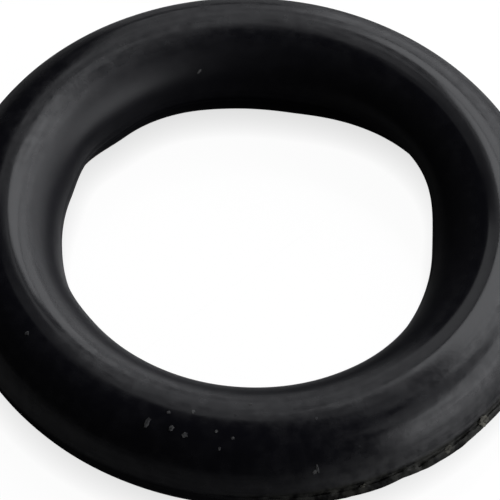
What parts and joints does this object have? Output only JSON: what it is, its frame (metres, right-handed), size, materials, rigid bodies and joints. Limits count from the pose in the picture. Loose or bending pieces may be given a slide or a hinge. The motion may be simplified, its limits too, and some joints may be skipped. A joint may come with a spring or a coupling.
{
  "type": "o-ring",
  "caption": "Black rubber o-ring with a round section and a thin moulding flash at its parting plane, for sealing a shaft, bore or face.",
  "frame": {"origin": "centre of the ring on the mould's parting plane", "axes": "+Z along the ring's axis; the ring lies flat, so its parting plane is the XY plane"},
  "size_m": [0.0162, 0.0162, 0.003],
  "materials": {
    "rubber": "satin moulded black rubber"
  },
  "bodies": {
    "root": {"o_ring": "rubber"}
  },
  "joints": []
}
